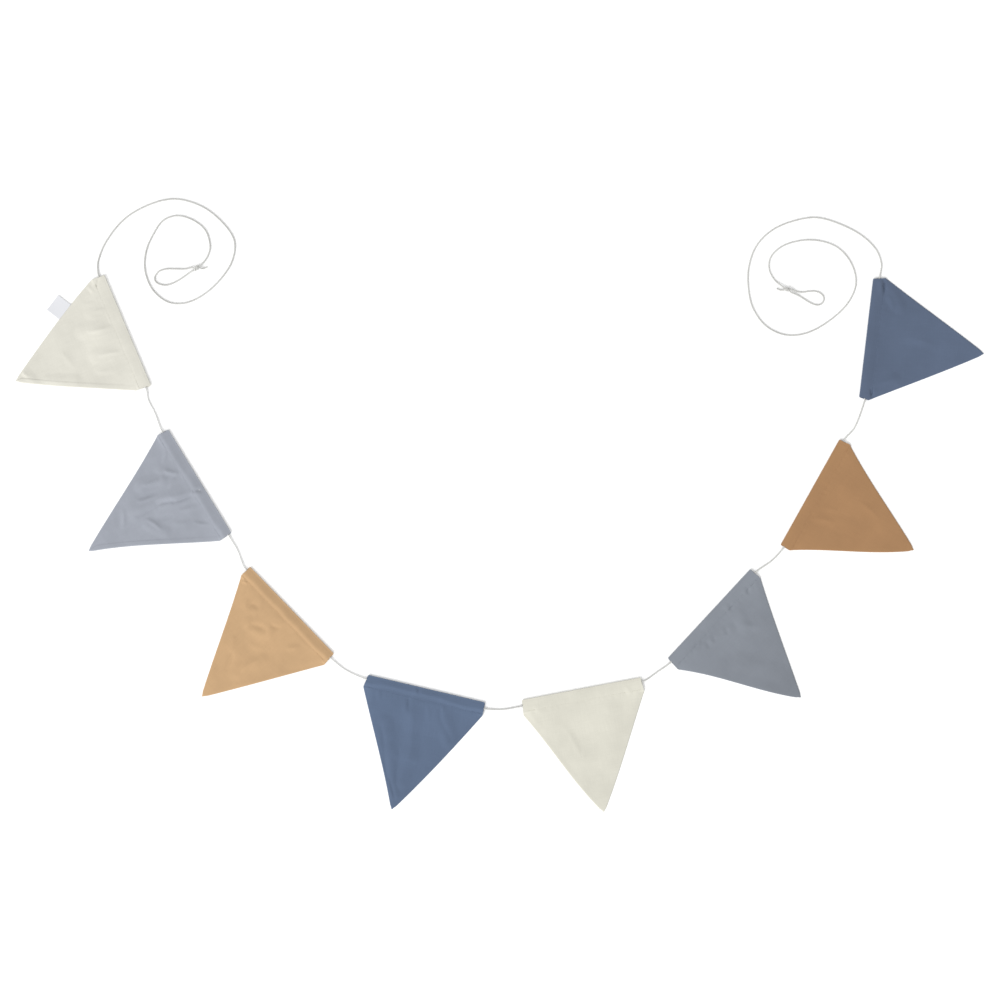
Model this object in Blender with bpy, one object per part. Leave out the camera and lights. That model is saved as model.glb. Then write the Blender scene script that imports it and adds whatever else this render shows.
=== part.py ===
"""Fabric bunting laid flat in a U: eight doubled cotton pennants threaded on one cotton string.

Sizes in this file are millimetres and are turned to metres where a mesh or curve is made.
X runs to the right of the laid-out U, Y runs from its closed end to its open end, Z is up,
and the pennants lie on the surface z = 0.
"""

import math
from collections import namedtuple

import bmesh
import bpy
from mathutils import Matrix, Vector

MM = 0.001

# Cloth of a pennant: one kite of cotton folded in half, sewn down both sides and turned
CLOTH = 1.6
CELLS_ACROSS = 18
TIP_CUT = 3.0
CORNER_ROUND = 1.2
CORNER_DOWN = 2.6

# Casing along the fold, sewn off by one line of stitches, and the way through it for the string
CASING_FLOOR = 0.75
TUNNEL_DOWN = 6.5
TUNNEL_WIDE = 10.0
TUNNEL_HIGH = 2.9
TUNNEL_SIDES = 16
TUNNEL_SPARE = 6.0

# String
STRING_DIAMETER = 2.0
STRING_LOW = 0.5 * STRING_DIAMETER + 0.05
STRING_IN_CASING = CASING_FLOOR + 0.5 * TUNNEL_HIGH
MOUTH_REACH = 4.0
END_STEP = 22.5
LOOP_STEP = 8.0

# Knots and the label
KNOT_LONG = 10.0
KNOT_WIDE = 8.0
KNOT_HIGH = 5.4
KNOT_LUMPS = 3
KNOT_LUMP = 0.09
LABEL_THICK = 1.0
LABEL_OUT = 20.5
LABEL_TOP_DOWN = 55.5
LABEL_LOW_DOWN = 76.5
LABEL_RISE = 0.4
SEAM_GAP = 0.35

# Section of the casing: how far down from the fold, and how high the top of the cloth is there
Section = namedtuple("Section", "down height")
CASING = (
    Section(0.0, 1.9),
    Section(1.1, 3.2),
    Section(3.4, 4.3),
    Section(6.5, 4.5),
    Section(9.6, 4.2),
    Section(13.0, 2.3),
    Section(15.2, 1.2),
    Section(18.5, CLOTH),
)

# Where each pennant lies: its first fold corner, the turn of its fold, and its fold's length
Place = namedtuple("Place", "x y turn width")
PLACES = {
    "pennant_1": Place(-514.0, 349.0, -67.1, 157.5),
    "pennant_2": Place(-431.0, 148.0, -58.6, 158.6),
    "pennant_3": Place(-324.8, -30.4, -46.0, 158.0),
    "pennant_4": Place(-171.3, -171.2, -13.3, 157.3),
    "pennant_5": Place(28.4, -204.0, 10.7, 158.0),
    "pennant_6": Place(218.0, -150.1, 47.2, 158.9),
    "pennant_7": Place(364.6, -2.8, 60.8, 157.9),
    "pennant_8": Place(467.0, 189.0, 83.3, 156.0),
}

# Cut of each pennant: the low corners of its casing's ends and its tip, from the first fold corner
Cut = namedtuple("Cut", "left_x left_down right_x right_down tip_x tip_down")
CUTS = {
    "pennant_1": Cut(0.0, 18.0, 155.5, 20.5, 83.0, 160.0),
    "pennant_2": Cut(-0.5, 15.0, 159.5, 17.5, 81.5, 170.5),
    "pennant_3": Cut(0.5, 15.5, 159.5, 19.0, 78.5, 162.0),
    "pennant_4": Cut(-2.5, 16.0, 157.5, 17.0, 70.5, 163.0),
    "pennant_5": Cut(-1.5, 20.0, 159.0, 18.0, 78.0, 163.0),
    "pennant_6": Cut(-1.5, 19.5, 159.0, 17.5, 80.5, 161.5),
    "pennant_7": Cut(-0.5, 13.0, 158.5, 14.5, 79.0, 154.5),
    "pennant_8": Cut(-2.5, 12.0, 158.5, 16.0, 75.5, 154.5),
}

# Drift of each sewn side to the right of a straight line, in its upper and its lower third
Bow = namedtuple("Bow", "left_high left_low right_high right_low")
BOWS = {
    "pennant_1": Bow(-2.0, -1.0, 0.0, 1.5),
    "pennant_2": Bow(1.5, -0.5, 0.0, -3.0),
    "pennant_3": Bow(1.0, -0.5, 0.0, 0.5),
    "pennant_4": Bow(0.0, 1.5, 1.0, 1.5),
    "pennant_5": Bow(1.0, -3.0, 0.0, 1.5),
    "pennant_6": Bow(3.0, -2.5, -1.0, 0.0),
    "pennant_7": Bow(1.5, -3.0, -2.0, 0.5),
    "pennant_8": Bow(0.0, -1.0, -0.5, 0.5),
}

# How far down from the fold the string goes in and comes out of each casing
Mouths = namedtuple("Mouths", "into out")
MOUTHS = {
    "pennant_1": Mouths(6.9, 8.2),
    "pennant_2": Mouths(8.2, 5.2),
    "pennant_3": Mouths(6.4, 7.3),
    "pennant_4": Mouths(6.3, 8.0),
    "pennant_5": Mouths(8.2, 5.2),
    "pennant_6": Mouths(6.2, 8.2),
    "pennant_7": Mouths(4.9, 5.8),
    "pennant_8": Mouths(7.4, 8.2),
}

# Soft folds: a ridge from one place to another on a pennant, how high it lifts and how far it spreads
Fold = namedtuple("Fold", "x down to_x to_down rise spread")
FOLDS = {
    "pennant_1": (
        Fold(40, 34, 44, 16, 1.0, 11),
        Fold(58, 54, 68, 16, 1.9, 13),
        Fold(93, 52, 102, 18, 1.7, 12),
        Fold(112, 88, 98, 122, 0.9, 10),
        Fold(72, 146, 88, 140, 0.9, 9),
    ),
    "pennant_2": (
        Fold(82, 18, 76, 58, 2.8, 15),
        Fold(76, 58, 68, 94, 1.9, 15),
        Fold(42, 34, 55, 17, 1.4, 11),
        Fold(44, 68, 51, 42, 1.3, 12),
        Fold(92, 86, 112, 74, 1.3, 11),
        Fold(128, 18, 122, 44, 1.2, 12),
    ),
    "pennant_3": (
        Fold(54, 52, 78, 42, 1.3, 13),
        Fold(33, 37, 47, 28, 1.0, 11),
        Fold(96, 74, 88, 108, 0.9, 13),
    ),
    "pennant_4": (
        Fold(64, 18, 77, 92, 2.2, 14),
        Fold(77, 92, 74, 126, 1.6, 11),
        Fold(104, 18, 124, 60, 1.9, 13),
        Fold(36, 56, 52, 96, 1.5, 12),
        Fold(52, 96, 68, 144, 1.5, 9),
    ),
    "pennant_5": (
        Fold(34, 36, 60, 92, 0.9, 15),
        Fold(112, 34, 96, 104, 0.9, 15),
    ),
    "pennant_6": (
        Fold(82, 32, 58, 25, 1.1, 11),
        Fold(108, 18, 98, 46, 1.0, 12),
        Fold(62, 74, 84, 118, 0.9, 14),
    ),
    "pennant_7": (
        Fold(56, 18, 66, 66, 0.9, 13),
        Fold(104, 40, 90, 108, 1.0, 15),
    ),
    "pennant_8": (
        Fold(143, 20, 124, 38, 1.5, 12),
        Fold(14, 19, 28, 42, 1.3, 12),
        Fold(88, 58, 80, 112, 0.9, 15),
    ),
}
FOLDS_FROM = 14.0
FOLDS_FULL = 24.0

# The string's free ends, from each knot's side of the U, and its bends between two pennants
LEFT_END = (
    (-388.8, 360.0), (-381.0, 370.0), (-376.5, 385.0), (-382.3, 405.6), (-398.4, 419.2), (-419.0, 425.0),
    (-437.7, 418.7), (-450.6, 400.5), (-459.7, 378.8), (-461.1, 354.1), (-451.4, 329.4), (-432.1, 313.3),
    (-410.5, 311.2), (-387.5, 320.8), (-364.9, 340.4), (-348.0, 366.0), (-345.2, 392.9), (-362.3, 418.2),
    (-389.0, 437.9), (-423.0, 446.7), (-457.2, 438.8), (-488.6, 420.0), (-511.5, 391.7), (-522.0, 366.0),
)
RIGHT_END = (
    (496.0, 362.0), (489.0, 381.0), (470.0, 399.5), (441.7, 414.3), (412.0, 422.5), (383.9, 418.7),
    (355.1, 406.9), (334.0, 386.5), (323.9, 360.0), (322.8, 333.0), (329.0, 305.0), (346.1, 281.7),
    (371.9, 270.0), (399.9, 272.9), (430.1, 289.9), (453.2, 312.9), (462.9, 338.5), (455.3, 365.9),
    (435.8, 385.6), (404.0, 393.5), (371.1, 387.2), (352.8, 372.3), (350.0, 356.0), (357.2, 341.4),
    (368.5, 332.2),
)
BETWEEN = (
    ((-457.0, 186.0), (-448.0, 168.0)),
    ((-341.0, -9.5),),
    ((-200.0, -165.5),),
    ((4.0, -216.5),),
    ((203.0, -169.0),),
    ((353.2, -23.4),),
    ((460.9, 149.5),),
)

# Knots, and the bight and the short cut tail that come out of each
Knot = namedtuple("Knot", "x y turn")
LEFT_KNOT = Knot(-393.8, 356.9, 18.0)
RIGHT_KNOT = Knot(373.5, 329.3, 152.0)
LEFT_LOOP = (
    (-399.5, 358.0), (-408.5, 355.9), (-420.5, 355.9), (-433.0, 355.8), (-443.0, 352.6), (-448.3, 345.5),
    (-447.4, 339.5), (-441.4, 335.9), (-433.0, 334.9), (-423.0, 338.2), (-413.0, 344.0), (-405.3, 349.6),
    (-399.0, 353.3),
)
RIGHT_LOOP = (
    (379.2, 329.2), (386.2, 326.6), (393.5, 325.6), (402.0, 326.7), (411.5, 326.5), (418.4, 323.0),
    (421.3, 317.6), (419.3, 311.8), (414.5, 309.0), (407.5, 310.0), (399.0, 314.5), (389.3, 320.6),
    (378.0, 325.6),
)
LEFT_TAIL = ((-388.2, 356.4), (-384.6, 356.6), (-380.4, 358.2))
RIGHT_TAIL = ((368.0, 328.0), (364.4, 328.4), (359.6, 330.4))

# Colours of the dyed cottons, the string and the woven tape
COLOURS = {
    "pennant_1": "E2DFD5",
    "pennant_2": "A6AAB4",
    "pennant_3": "CFAB84",
    "pennant_4": "65748C",
    "pennant_5": "DFDCD2",
    "pennant_6": "8C919A",
    "pennant_7": "AE8864",
    "pennant_8": "626E84",
    "string": "E9E6DE",
    "label": "F4F3F1",
}


def remove_startup_objects():
    for thing in list(bpy.data.objects):
        bpy.data.objects.remove(thing, do_unlink=True)


def new_collection(name):
    group = bpy.data.collections.new(name)
    bpy.context.scene.collection.children.link(group)
    return group


def linear(channel):
    if channel <= 0.04045:
        return channel / 12.92
    return ((channel + 0.055) / 1.055) ** 2.4


def cotton(name):
    """A matt cotton finish in one dyed colour."""
    code = COLOURS[name]
    red, green, blue = (linear(int(code[i:i + 2], 16) / 255) for i in (0, 2, 4))
    material = bpy.data.materials.new(name + "_cotton")
    material.use_nodes = True
    shader = material.node_tree.nodes["Principled BSDF"]
    shader.inputs["Base Color"].default_value = (red, green, blue, 1.0)
    shader.inputs["Roughness"].default_value = 0.9
    shader.inputs["Metallic"].default_value = 0.0
    return material


def new_object(name, data, group, material):
    thing = bpy.data.objects.new(name, data)
    group.objects.link(thing)
    data.materials.append(material)
    return thing


def mix(a, b, share):
    return a + (b - a) * share


def ease(share):
    share = min(max(share, 0.0), 1.0)
    return share * share * (3.0 - 2.0 * share)


def bow(share, high, low):
    """Drift at a share of the way down a side, which is high and low at its two thirds."""
    rest = 1.0 - share
    return 6.75 * share * rest * (high * rest + low * share)


def side_x(name, down, right):
    """Where a pennant's left or right edge is, this far down from its fold."""
    cut, bows = CUTS[name], BOWS[name]
    top_x = PLACES[name].width if right else 0.0
    low_x, low_down = (cut.right_x, cut.right_down) if right else (cut.left_x, cut.left_down)
    high, low = (bows.right_high, bows.right_low) if right else (bows.left_high, bows.left_low)
    inward = -1.0 if right else 1.0
    if down <= low_down:
        rounding = CORNER_ROUND * max(0.0, 1.0 - down / CORNER_DOWN) ** 2
        return mix(top_x, low_x, down / low_down) + inward * rounding
    share = (down - low_down) / (cut.tip_down - low_down)
    return mix(low_x, cut.tip_x, share) + bow(share, high, low)


def distance_to_fold(fold, x, down):
    along = Vector((fold.to_x - fold.x, fold.to_down - fold.down))
    away = Vector((x - fold.x, down - fold.down))
    share = min(max(away.dot(along) / along.length_squared, 0.0), 1.0)
    return (away - along * share).length


def lift(name, x, down):
    """How far a fold raises the cloth off the surface here."""
    highest = 0.0
    for fold in FOLDS[name]:
        nearness = 1.0 - (distance_to_fold(fold, x, down) / fold.spread) ** 2
        if nearness > 0.0:
            highest = max(highest, fold.rise * nearness ** 2)
    return highest * ease((down - FOLDS_FROM) / (FOLDS_FULL - FOLDS_FROM))


def thickness(down):
    """Height of the cloth's top over its underside: the casing's section, then plain cloth."""
    for upper, lower in zip(CASING, CASING[1:]):
        if down <= lower.down:
            share = (down - upper.down) / (lower.down - upper.down)
            return mix(upper.height, lower.height, share)
    return CLOTH


def flat_cut(name):
    """The pennant's flat shape: a strip for the casing, then a triangle down to the tip."""
    bm = bmesh.new()
    fold = [bm.verts.new((0, 0, 0)), bm.verts.new((1, 0, 0))]
    seam = [bm.verts.new((0, 1, 0)), bm.verts.new((1, 1, 0))]
    tip = bm.verts.new((0.5, 2, 0))
    bm.faces.new((fold[0], fold[1], seam[1], seam[0]))
    bm.faces.new((seam[0], seam[1], tip))
    ends = [edge for edge in bm.edges if edge.verts[0].co.x == edge.verts[1].co.x]
    across = [edge for edge in bm.edges if edge not in ends]
    bmesh.ops.subdivide_edges(bm, edges=across, cuts=CELLS_ACROSS - 1, use_grid_fill=True)
    down = [edge for edge in bm.edges
            if max(v.co.y for v in edge.verts) < 1.001
            and abs(edge.verts[0].co.y - edge.verts[1].co.y) > 0.5]
    bmesh.ops.subdivide_edges(bm, edges=down, cuts=len(CASING) - 2, use_grid_fill=True)
    casing_end = CASING[-1].down
    for vert in bm.verts:
        across_share, rows = vert.co.x, vert.co.y
        if rows < 1.001:
            row = CASING[round(rows * (len(CASING) - 1))].down
        else:
            row = mix(casing_end, CUTS[name].tip_down, rows - 1.0)
            width = 2.0 - rows
            across_share = 0.5 if width < 1e-6 else (across_share - 0.5 + 0.5 * width) / width
        x = mix(side_x(name, row, False), side_x(name, row, True), across_share)
        vert.co = (x, -row, 0.0)
    lowest = min(bm.verts, key=lambda v: v.co.y)
    bmesh.ops.bevel(bm, geom=[lowest], offset=TIP_CUT, affect="VERTICES", segments=2, profile=0.5)
    return bm


def pennant_mesh(name):
    """The cut given its thickness, its casing and its folds, with a flat underside between them."""
    bm = flat_cut(name)
    sheet = bm.faces[:]
    raised = bmesh.ops.extrude_face_region(bm, geom=sheet, use_keep_orig=True)["geom"]
    top = {item for item in raised if isinstance(item, bmesh.types.BMVert)}
    for vert in bm.verts:
        x, down = vert.co.x, -vert.co.y
        raise_by = thickness(down) if vert in top else 0.0
        vert.co.z = lift(name, x, down) + raise_by
    bmesh.ops.recalc_face_normals(bm, faces=bm.faces[:])
    flat = [face for face in bm.faces if all(abs(v.co.z) < 1e-6 for v in face.verts)]
    flat_edges = {edge for face in flat for edge in face.edges if all(f in flat for f in edge.link_faces)}
    bmesh.ops.dissolve_limit(
        bm, angle_limit=math.radians(0.05), use_dissolve_boundaries=False,
        verts=[], edges=list(flat_edges), delimit=set(),
    )
    bmesh.ops.scale(bm, vec=(MM, MM, MM), verts=bm.verts[:])
    mesh = bpy.data.meshes.new(name)
    bm.to_mesh(mesh)
    bm.free()
    return mesh


def place_matrix(name):
    place = PLACES[name]
    return Matrix.Translation((place.x * MM, place.y * MM, 0.0)) @ Matrix.Rotation(math.radians(place.turn), 4, "Z")


def tunnel_cutter(name, guides):
    """A lens-shaped bar along the casing, wider than the string and open at both ends."""
    width = PLACES[name].width
    bm = bmesh.new()
    bmesh.ops.create_cone(
        bm, cap_ends=True, segments=TUNNEL_SIDES, radius1=0.5, radius2=0.5,
        depth=width + 2 * TUNNEL_SPARE,
    )
    bmesh.ops.rotate(bm, cent=(0, 0, 0), matrix=Matrix.Rotation(math.radians(90), 3, "Y"), verts=bm.verts[:])
    bmesh.ops.scale(bm, vec=(1.0, TUNNEL_WIDE, TUNNEL_HIGH), verts=bm.verts[:])
    bmesh.ops.translate(bm, vec=(0.5 * width, -TUNNEL_DOWN, STRING_IN_CASING), verts=bm.verts[:])
    bmesh.ops.scale(bm, vec=(MM, MM, MM), verts=bm.verts[:])
    mesh = bpy.data.meshes.new(name + "_tunnel")
    bm.to_mesh(mesh)
    bm.free()
    cutter = bpy.data.objects.new(name + "_tunnel", mesh)
    guides.objects.link(cutter)
    cutter.matrix_world = place_matrix(name)
    cutter.hide_render = True
    cutter.display_type = "WIRE"
    return cutter


def make_pennant(name, group, guides):
    pennant = new_object(name, pennant_mesh(name), group, cotton(name))
    pennant.matrix_world = place_matrix(name)
    cut = pennant.modifiers.new("way for the string", "BOOLEAN")
    cut.operation = "DIFFERENCE"
    cut.solver = "EXACT"
    cut.object = tunnel_cutter(name, guides)
    return pennant


def on_pennant(name, x, down, z):
    """A place on a pennant, given from its first fold corner, in the bunting's own frame."""
    return place_matrix(name) @ Vector((x * MM, -down * MM, z * MM)) / MM


def smooth_route(points, step):
    """Evenly spaced places, about a step apart, on a smooth curve through the route's points."""
    places = [Vector(point) for point in points]
    before = [2 * places[0] - places[1]] + places[:-1]
    after = places[1:] + [2 * places[-1] - places[-2]]
    slopes = [(b - a) / ((b - p).length + (p - a).length) for a, p, b in zip(before, places, after)]
    fine = []
    for p, q, p_slope, q_slope in zip(places, places[1:], slopes, slopes[1:]):
        span = (q - p).length
        for i in range(24):
            t = i / 24
            fine.append(
                p * (2 * t ** 3 - 3 * t ** 2 + 1) + p_slope * span * (t ** 3 - 2 * t ** 2 + t)
                + q * (3 * t ** 2 - 2 * t ** 3) + q_slope * span * (t ** 3 - t ** 2)
            )
    fine.append(places[-1])
    length = sum((b - a).length for a, b in zip(fine, fine[1:]))
    pieces = max(2, round(length / step))
    even, travelled = [fine[0]], 0.0
    for a, b in zip(fine, fine[1:]):
        travelled += (b - a).length
        if travelled >= length * len(even) / pieces and len(even) < pieces:
            even.append(b)
    return even + [fine[-1]]


def with_height(points, first, last):
    """A flat route given its heights: on the surface, but for its first and last places."""
    low = [Vector((x, y, STRING_LOW)) for x, y in points]
    low[0].z = first
    low[-1].z = last
    return low


def string_route():
    """From the left knot through all eight casings to the right knot."""
    names = list(PLACES)
    first, last = names[0], names[-1]
    mouth_z = STRING_IN_CASING
    start = on_pennant(first, -MOUTH_REACH, MOUTHS[first].into, mouth_z)
    finish = on_pennant(last, PLACES[last].width + MOUTH_REACH, MOUTHS[last].out, mouth_z)
    left = with_height(LEFT_END, 0.5 * KNOT_HIGH, STRING_LOW) + [start]
    right = [finish] + with_height(RIGHT_END, STRING_LOW, 0.5 * KNOT_HIGH)
    middle = []
    for name, bends in zip(names, BETWEEN + ((),)):
        mouths = MOUTHS[name]
        middle.append(on_pennant(name, -MOUTH_REACH, mouths.into, mouth_z))
        middle.append(on_pennant(name, PLACES[name].width + MOUTH_REACH, mouths.out, mouth_z))
        middle += [Vector((x, y, STRING_LOW)) for x, y in bends]
    return smooth_route(left, END_STEP)[:-1] + middle + smooth_route(right, END_STEP)[1:]


def make_cord(name, points, group, material):
    """A round cord with filled ends along these places."""
    curve = bpy.data.curves.new(name, "CURVE")
    curve.dimensions = "3D"
    curve.bevel_depth = 0.5 * STRING_DIAMETER * MM
    curve.bevel_resolution = 2
    curve.use_fill_caps = True
    spline = curve.splines.new("POLY")
    spline.points.add(len(points) - 1)
    for knot, place in zip(spline.points, points):
        knot.co = (place[0] * MM, place[1] * MM, place[2] * MM, 1.0)
    return new_object(name, curve, group, material)


def make_knot(name, knot, group, material):
    """An overhand knot in doubled string: an egg with three soft lumps where the turns cross it."""
    bm = bmesh.new()
    bmesh.ops.create_uvsphere(bm, u_segments=14, v_segments=8, radius=0.5)
    for vert in bm.verts:
        around = math.atan2(vert.co.z, vert.co.y)
        swell = 1.0 + KNOT_LUMP * math.sin(KNOT_LUMPS * around + 10.0 * vert.co.x)
        side = 1.0 + (swell - 1.0) * (1.0 - 4.0 * vert.co.x ** 2)
        vert.co = (vert.co.x * KNOT_LONG, vert.co.y * KNOT_WIDE * side, vert.co.z * KNOT_HIGH * side)
    lowest = min(vert.co.z for vert in bm.verts)
    bmesh.ops.translate(bm, vec=(0, 0, 0.05 - lowest), verts=bm.verts[:])
    bmesh.ops.scale(bm, vec=(MM, MM, MM), verts=bm.verts[:])
    mesh = bpy.data.meshes.new(name)
    bm.to_mesh(mesh)
    bm.free()
    mesh.shade_smooth()
    thing = new_object(name, mesh, group, material)
    thing.location = (knot.x * MM, knot.y * MM, 0.0)
    thing.rotation_euler = (0.0, 0.0, math.radians(knot.turn))
    return thing


def make_label(group):
    """A folded woven tape caught in the first pennant's side seam, with nothing on it."""
    name = "pennant_1"
    top = on_pennant(name, side_x(name, LABEL_TOP_DOWN, False), LABEL_TOP_DOWN, 0.0)
    low = on_pennant(name, side_x(name, LABEL_LOW_DOWN, False), LABEL_LOW_DOWN, 0.0)
    along = low - top
    out = Vector((along.y, -along.x, 0.0)).normalized()
    if out.x > 0.0:
        out.negate()
    bm = bmesh.new()
    bmesh.ops.create_grid(bm, x_segments=4, y_segments=5, size=0.5)
    raised = bmesh.ops.extrude_face_region(bm, geom=bm.faces[:], use_keep_orig=True)["geom"]
    upper = {item for item in raised if isinstance(item, bmesh.types.BMVert)}
    for vert in bm.verts:
        beside, outward = vert.co.x + 0.5, vert.co.y + 0.5
        hang = LABEL_RISE * ease(1.0 - 3.0 * outward)
        tape = LABEL_THICK * (1.0 - 0.25 * ease(6.0 * outward - 5.0))
        place = top + along * beside + out * (SEAM_GAP + LABEL_OUT * outward)
        vert.co = (place.x, place.y, hang + (tape if vert in upper else 0.0))
    bmesh.ops.recalc_face_normals(bm, faces=bm.faces[:])
    bmesh.ops.scale(bm, vec=(MM, MM, MM), verts=bm.verts[:])
    mesh = bpy.data.meshes.new("label")
    bm.to_mesh(mesh)
    bm.free()
    return new_object("label", mesh, group, cotton("label"))


remove_startup_objects()
bunting = new_collection("fabric bunting")
cutters = new_collection("cutters")
for pennant_name in PLACES:
    make_pennant(pennant_name, bunting, cutters)
make_label(bunting)
string_cotton = cotton("string")
make_cord("string", string_route(), bunting, string_cotton)
for side, knot, loop, tail in (
    ("left", LEFT_KNOT, LEFT_LOOP, LEFT_TAIL),
    ("right", RIGHT_KNOT, RIGHT_LOOP, RIGHT_TAIL),
):
    half_high = 0.5 * KNOT_HIGH
    make_knot("knot_" + side, knot, bunting, string_cotton)
    loop_route = smooth_route(with_height(loop, half_high, half_high), LOOP_STEP)
    make_cord("loop_" + side, loop_route, bunting, string_cotton)
    make_cord("tail_" + side, with_height(tail, half_high, STRING_LOW), bunting, string_cotton)
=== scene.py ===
"""Fabric bunting laid flat: cotton pennants with sewn casings on one twisted cotton string."""
import math

import bpy
import numpy as np
from mathutils import Matrix, Vector, noise


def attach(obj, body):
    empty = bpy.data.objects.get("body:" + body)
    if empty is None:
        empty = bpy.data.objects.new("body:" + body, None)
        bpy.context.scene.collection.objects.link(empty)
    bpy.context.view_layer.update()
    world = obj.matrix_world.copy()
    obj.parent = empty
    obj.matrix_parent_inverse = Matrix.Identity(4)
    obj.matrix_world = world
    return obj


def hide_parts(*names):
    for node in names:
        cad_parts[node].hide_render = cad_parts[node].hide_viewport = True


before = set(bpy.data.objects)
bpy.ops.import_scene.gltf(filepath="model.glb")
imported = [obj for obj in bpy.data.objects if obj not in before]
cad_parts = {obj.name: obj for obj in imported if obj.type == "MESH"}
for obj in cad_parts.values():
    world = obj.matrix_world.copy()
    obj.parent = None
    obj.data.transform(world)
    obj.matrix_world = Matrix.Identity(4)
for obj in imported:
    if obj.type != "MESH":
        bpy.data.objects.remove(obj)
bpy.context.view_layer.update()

MM = 0.001


# Camera. The bunting lies on a surface and is seen from straight above, with the open end of
# its U at the top. The picture is 1000 pixels wide and covers 1.3 m of the surface.
PICTURE_WIDTH = 1.3
FOCAL_MM = 80.0
SENSOR_MM = 36.0
PICTURE_CENTRE = (0.0004, 0.0558)

view = bpy.data.cameras.new("overhead_view")
view.lens = FOCAL_MM
view.sensor_width = SENSOR_MM
view.clip_end = 20.0
camera = bpy.data.objects.new("overhead_camera", view)
camera.location = (*PICTURE_CENTRE, PICTURE_WIDTH * FOCAL_MM / SENSOR_MM)
bpy.context.scene.collection.objects.link(camera)
bpy.context.scene.camera = camera
bpy.context.scene.view_settings.view_transform = "Standard"


# String. One length of white cotton string, three plies twisted together, runs through all the
# casings. Its two free ends lie in loose open turns, as it came off the table.
STRING_DIAMETER = 2.0
STRING_LOW = 1.05
STRING_IN_CASING = 1.6
STRING_STEP = 0.75
CURVE_PARTS = 24
MOUTH_REACH = 4.0
KNOT_HEIGHT = 2.7

# The three plies, then the cotton's loose hairs and the soiled places along it
PLY_PITCH = 7.5
PLY_DEPTH = 0.1
PLY_SWELL = 1.3
SECTION_SIDES = 12
HAIR_SIZE = 0.3846
SOIL_SIZE = 26.32
STRING_COLOUR = "C8C8C5"
STRING_SHADE = "B5B4B1"
# Painted light: the whiter colour the string is mixed towards where it catches more light
STRING_PAINTED_LIGHT = "E4E4E2"

# Where the string is painted whiter as painted light, and where not, in metres along the picture's two axes
PAINTED_LIGHT_PART = (("X", -0.16, 0.06), ("Y", 0.22, 0.32))

# First fold corner of each pennant, the turn of its fold and its length, then how far down from
# the fold the string goes in and comes out
PLACES = {
    "pennant_1": (-514.0, 349.0, -67.1, 157.5, 6.9, 8.2),
    "pennant_2": (-431.0, 148.0, -58.6, 158.6, 8.2, 5.2),
    "pennant_3": (-324.8, -30.4, -46.0, 158.0, 6.4, 7.3),
    "pennant_4": (-171.3, -171.2, -13.3, 157.3, 6.3, 8.0),
    "pennant_5": (28.4, -204.0, 10.7, 158.0, 8.2, 5.2),
    "pennant_6": (218.0, -150.1, 47.2, 158.9, 6.2, 8.2),
    "pennant_7": (364.6, -2.8, 60.8, 157.9, 4.9, 5.8),
    "pennant_8": (467.0, 189.0, 83.3, 156.0, 7.4, 8.2),
}
LEFT_END = (
    (-388.8, 360.0), (-381.0, 370.0), (-376.5, 385.0), (-382.3, 405.6), (-398.4, 419.2), (-419.0, 425.0),
    (-437.7, 418.7), (-450.6, 400.5), (-459.7, 378.8), (-461.1, 354.1), (-451.4, 329.4), (-432.1, 313.3),
    (-410.5, 311.2), (-387.5, 320.8), (-364.9, 340.4), (-348.0, 366.0), (-345.2, 392.9), (-362.3, 418.2),
    (-389.0, 437.9), (-423.0, 446.7), (-457.2, 438.8), (-488.6, 420.0), (-511.5, 391.7), (-522.0, 366.0),
)
RIGHT_END = (
    (496.0, 362.0), (489.0, 381.0), (470.0, 399.5), (441.7, 414.3), (412.0, 422.5), (383.9, 418.7),
    (355.1, 406.9), (334.0, 386.5), (323.9, 360.0), (322.8, 333.0), (329.0, 305.0), (346.1, 281.7),
    (371.9, 270.0), (399.9, 272.9), (430.1, 289.9), (453.2, 312.9), (462.9, 338.5), (455.3, 365.9),
    (435.8, 385.6), (404.0, 393.5), (371.1, 387.2), (352.8, 372.3), (350.0, 356.0), (357.2, 341.4),
    (368.5, 332.2),
)
BETWEEN = (
    ((-457.0, 186.0), (-448.0, 168.0)),
    ((-341.0, -9.5),),
    ((-200.0, -165.5),),
    ((4.0, -216.5),),
    ((203.0, -169.0),),
    ((353.2, -23.4),),
    ((460.9, 149.5),),
)


def deselect():
    bpy.ops.object.select_all(action="DESELECT")


def place_matrix(name):
    x, y, turn = PLACES[name][:3]
    return Matrix.Translation((x, y, 0.0)) @ Matrix.Rotation(math.radians(turn), 4, "Z")


def on_pennant(name, x, down, z):
    """A place on a pennant, given from its first fold corner, in the bunting's own frame."""
    return place_matrix(name) @ Vector((x, -down, z))


def smooth_route(points, step):
    """Evenly spaced places, about a step apart, on a smooth curve through the route's points."""
    places = [Vector(point) for point in points]
    before = [2 * places[0] - places[1]] + places[:-1]
    after = places[1:] + [2 * places[-1] - places[-2]]
    slopes = [(b - a) / ((b - p).length + (p - a).length) for a, p, b in zip(before, places, after)]
    fine = []
    for p, q, p_slope, q_slope in zip(places, places[1:], slopes, slopes[1:]):
        span = (q - p).length
        for i in range(CURVE_PARTS):
            t = i / CURVE_PARTS
            fine.append(
                p * (2 * t ** 3 - 3 * t ** 2 + 1) + p_slope * span * (t ** 3 - 2 * t ** 2 + t)
                + q * (3 * t ** 2 - 2 * t ** 3) + q_slope * span * (t ** 3 - t ** 2)
            )
    fine.append(places[-1])
    line = np.array(fine)
    travelled = np.concatenate(([0.0], np.cumsum(np.linalg.norm(np.diff(line, axis=0), axis=1))))
    wanted = np.linspace(0.0, travelled[-1], max(2, round(travelled[-1] / step)) + 1)
    return np.column_stack([np.interp(wanted, travelled, line[:, axis]) for axis in range(3)])


def with_height(points, first, last):
    """A flat route given its heights: on the surface, but for its first and last places."""
    low = [Vector((x, y, STRING_LOW)) for x, y in points]
    low[0].z = first
    low[-1].z = last
    return low


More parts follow.
